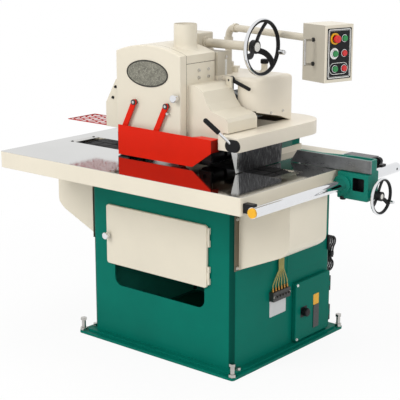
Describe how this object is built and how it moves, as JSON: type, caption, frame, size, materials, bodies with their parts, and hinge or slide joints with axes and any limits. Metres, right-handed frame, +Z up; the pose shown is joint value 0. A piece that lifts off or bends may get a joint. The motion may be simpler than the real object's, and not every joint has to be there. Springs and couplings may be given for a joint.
{
  "type": "straight-line rip saw",
  "caption": "Chain-fed straight-line rip saw: sheet cabinet, iron table with a feed chain, overarm carrying a liftable blade head, hold-down rollers, rip fence and swivel control box.",
  "frame": {"origin": "middle of the floor plate's underside", "axes": "+X towards the infeed end, -Y towards the near side with the large door, +Z up"},
  "size_m": [1.638, 1.183, 1.523],
  "materials": {
    "beige_paint": "gloss",
    "green_paint": "gloss",
    "red_paint": "gloss",
    "table_iron": "polished",
    "bright_steel": "satin",
    "dark_iron": "satin",
    "chrome": "polished",
    "black_plastic": "matte",
    "red_plastic": "gloss",
    "green_plastic": "gloss",
    "brass": "satin",
    "oil_line": "gloss",
    "sight_glass": "gloss",
    "grey_motor": "satin",
    "black_rubber": "matte"
  },
  "bodies": {
    "frame": {"base_plate": "green_paint", "levelling_bolts": "bright_steel", "cabinet": "green_paint", "door_hinges": "beige_paint", "table": "table_iron", "slot_end_plates": "bright_steel", "chain_frame": "dark_iron", "feed_chain": "dark_iron", "feed_gearmotor": "grey_motor", "infeed_chain_guard": "beige_paint", "outfeed_chain_guard": "beige_paint", "oil_manifold": "brass", "oil_lines": "oil_line", "pedestal": "green_paint", "overarm": "beige_paint", "lift_gearbox": "beige_paint", "fence_rail": "chrome", "rail_brackets": "black_plastic", "rail_caps": "black_plastic", "cable_gland": "black_plastic", "mains_lead": "black_rubber"},
    "drive_shaft": {"drive_sprocket": "dark_iron"},
    "idler_shaft": {"idler_sprocket": "dark_iron"},
    "near_door": {"cabinet_door": "beige_paint"},
    "near_door_knob": {"cabinet_knob": "chrome"},
    "oil_door": {"lube_door": "green_paint", "sight_glass": "sight_glass"},
    "oil_door_knob": {"lube_knob": "black_plastic"},
    "head": {"head_casting": "beige_paint", "dust_hood": "beige_paint", "arbor_housing": "dark_iron", "saw_motor": "grey_motor", "mesh_guard": "red_paint"},
    "lift_wheel": {"lift_handwheel": "chrome"},
    "lift_spindle": {"lift_screw": "bright_steel"},
    "cover": {"blade_cover": "beige_paint"},
    "cover_latch": {"latch_knob": "chrome"},
    "rear_link": {"guard_link_rear": "red_paint"},
    "front_link": {"guard_link_front": "red_paint"},
    "board_guard": {"side_guard": "red_paint"},
    "saw_spindle": {"arbor": "bright_steel", "saw_blade": "bright_steel"},
    "front_roller": {"infeed_roller": "bright_steel"},
    "rear_roller": {"outfeed_roller": "bright_steel"},
    "head_clamp": {"clamp_lever": "black_plastic"},
    "finger_set": {"kickback_fingers": "bright_steel", "finger_lever": "chrome"},
    "fence": {"fence_body": "green_paint", "fence_face": "bright_steel"},
    "fence_wheel": {"fence_handwheel": "chrome"},
    "fence_lock": {"fence_knob": "black_plastic"},
    "control_swivel": {"control_arm": "beige_paint", "control_box": "beige_paint", "box_handles": "chrome"},
    "emergency_stop_plunger": {"emergency_stop": "red_plastic"},
    "lift_button_plunger": {"lift_button": "green_plastic"},
    "saw_start_button_plunger": {"saw_start_button": "green_plastic"},
    "saw_stop_button_plunger": {"saw_stop_button": "red_plastic"},
    "feed_start_button_plunger": {"feed_start_button": "green_plastic"},
    "feed_stop_button_plunger": {"feed_stop_button": "red_plastic"}
  },
  "joints": [
    {"name": "drive_spin", "type": "hinge", "parent": "frame", "child": "drive_shaft", "pos_m": [-0.527, -0.235, 0.76822], "axis": [0, 1, 0], "continuous": true},
    {"name": "idler_spin", "type": "hinge", "parent": "frame", "child": "idler_shaft", "pos_m": [0.527, -0.235, 0.76822], "axis": [0, 1, 0], "continuous": true},
    {"name": "near_door_swing", "type": "hinge", "parent": "frame", "child": "near_door", "pos_m": [0.295, -0.3825, 0.5135], "axis": [0, 0, 1], "range_deg": [0, 110]},
    {"name": "near_door_turn", "type": "hinge", "parent": "near_door", "child": "near_door_knob", "pos_m": [-0.3, -0.389, 0.509], "axis": [0, 1, 0], "range_deg": [0, 90]},
    {"name": "oil_door_swing", "type": "hinge", "parent": "frame", "child": "oil_door", "pos_m": [0.435, 0.354, 0.17], "axis": [0, 0, 1], "range_deg": [0, 110]},
    {"name": "oil_door_turn", "type": "hinge", "parent": "oil_door", "child": "oil_door_knob", "pos_m": [0.445, 0.133, 0.16], "axis": [1, 0, 0], "range_deg": [0, 90]},
    {"name": "lift_turn", "type": "hinge", "parent": "frame", "child": "lift_wheel", "pos_m": [0.343, -0.08, 1.397], "axis": [-1, 0, 0], "range_deg": [0, 3061]},
    {"name": "head_lift", "type": "slide", "parent": "frame", "child": "head", "axis": [0, 0, 1], "range_m": [0, 0.085]},
    {"name": "screw_turn", "type": "hinge", "parent": "frame", "child": "lift_spindle", "pos_m": [-0.02, -0.08, 1.3], "axis": [0, 0, 1], "range_deg": [0, 3061]},
    {"name": "cover_swing", "type": "hinge", "parent": "head", "child": "cover", "pos_m": [-0.256, -0.352, 1.2], "axis": [0, 0, -1], "range_deg": [0, 90]},
    {"name": "cover_latch_turn", "type": "hinge", "parent": "cover", "child": "cover_latch", "pos_m": [0.114, -0.378, 1.189], "axis": [0, 1, 0], "range_deg": [0, 90]},
    {"name": "guard_swing", "type": "hinge", "parent": "cover", "child": "rear_link", "pos_m": [-0.126, -0.391, 1.15], "axis": [0, -1, 0], "range_deg": [-50, 0]},
    {"name": "front_link_swing", "type": "hinge", "parent": "cover", "child": "front_link", "pos_m": [0.062, -0.391, 1.15], "axis": [0, -1, 0], "range_deg": [-50, 0]},
    {"name": "guard_level", "type": "hinge", "parent": "rear_link", "child": "board_guard", "pos_m": [-0.19137, -0.391, 1.0217], "axis": [0, -1, 0], "range_deg": [0, 50]},
    {"name": "blade_spin", "type": "hinge", "parent": "head", "child": "saw_spindle", "pos_m": [-0.056, -0.235, 1.05], "axis": [0, 1, 0], "continuous": true},
    {"name": "front_roller_spin", "type": "hinge", "parent": "head", "child": "front_roller", "pos_m": [0.23, -0.235, 0.945], "axis": [0, 1, 0], "continuous": true},
    {"name": "rear_roller_spin", "type": "hinge", "parent": "head", "child": "rear_roller", "pos_m": [-0.255, -0.235, 0.945], "axis": [0, 1, 0], "continuous": true},
    {"name": "head_clamp_turn", "type": "hinge", "parent": "head", "child": "head_clamp", "pos_m": [0.215, -0.13, 1.252], "axis": [0, 1, 0], "range_deg": [-20, 25]},
    {"name": "finger_swing", "type": "hinge", "parent": "frame", "child": "finger_set", "pos_m": [0.422, -0.2, 1.02], "axis": [0, 1, 0], "range_deg": [0, 50]},
    {"name": "fence_slide", "type": "slide", "parent": "frame", "child": "fence", "axis": [0, 1, 0], "range_m": [-0.18, 0.2]},
    {"name": "fence_wheel_turn", "type": "hinge", "parent": "fence", "child": "fence_wheel", "pos_m": [0.912, 0.004, 0.81], "axis": [1, 0, 0], "range_deg": [-720, 760]},
    {"name": "fence_lock_turn", "type": "hinge", "parent": "fence", "child": "fence_lock", "pos_m": [0.856, 0.05, 0.944], "axis": [0, 1, 0], "range_deg": [-180, 180]},
    {"name": "control_swing", "type": "hinge", "parent": "frame", "child": "control_swivel", "pos_m": [-0.042, 0.172, 1.262], "axis": [0, 0, 1], "range_deg": [0, 75]},
    {"name": "emergency_stop_press", "type": "slide", "parent": "control_swivel", "child": "emergency_stop_plunger", "axis": [-0.9636, 0.2672, 0], "range_m": [0, 0.005], "stiffness_N_per_m": 600, "springref_m": -0.003},
    {"name": "lift_button_press", "type": "slide", "parent": "control_swivel", "child": "lift_button_plunger", "axis": [-0.9636, 0.2672, 0], "range_m": [0, 0.004], "stiffness_N_per_m": 600, "springref_m": -0.003},
    {"name": "saw_start_button_press", "type": "slide", "parent": "control_swivel", "child": "saw_start_button_plunger", "axis": [-0.9636, 0.2672, 0], "range_m": [0, 0.004], "stiffness_N_per_m": 600, "springref_m": -0.003},
    {"name": "saw_stop_button_press", "type": "slide", "parent": "control_swivel", "child": "saw_stop_button_plunger", "axis": [-0.9636, 0.2672, 0], "range_m": [0, 0.004], "stiffness_N_per_m": 600, "springref_m": -0.003},
    {"name": "feed_start_button_press", "type": "slide", "parent": "control_swivel", "child": "feed_start_button_plunger", "axis": [-0.9636, 0.2672, 0], "range_m": [0, 0.004], "stiffness_N_per_m": 600, "springref_m": -0.003},
    {"name": "feed_stop_button_press", "type": "slide", "parent": "control_swivel", "child": "feed_stop_button_plunger", "axis": [-0.9636, 0.2672, 0], "range_m": [0, 0.004], "stiffness_N_per_m": 600, "springref_m": -0.003}
  ],
  "couplings": [
    {"joint": "idler_spin", "follows": "drive_spin", "ratio": 1},
    {"joint": "lift_turn", "follows": "head_lift", "rad_per_m": 628.32},
    {"joint": "screw_turn", "follows": "head_lift", "rad_per_m": 628.32},
    {"joint": "front_link_swing", "follows": "guard_swing", "ratio": 1},
    {"joint": "guard_level", "follows": "guard_swing", "ratio": -1},
    {"joint": "fence_wheel_turn", "follows": "fence_slide", "rad_per_m": 62.8}
  ]
}
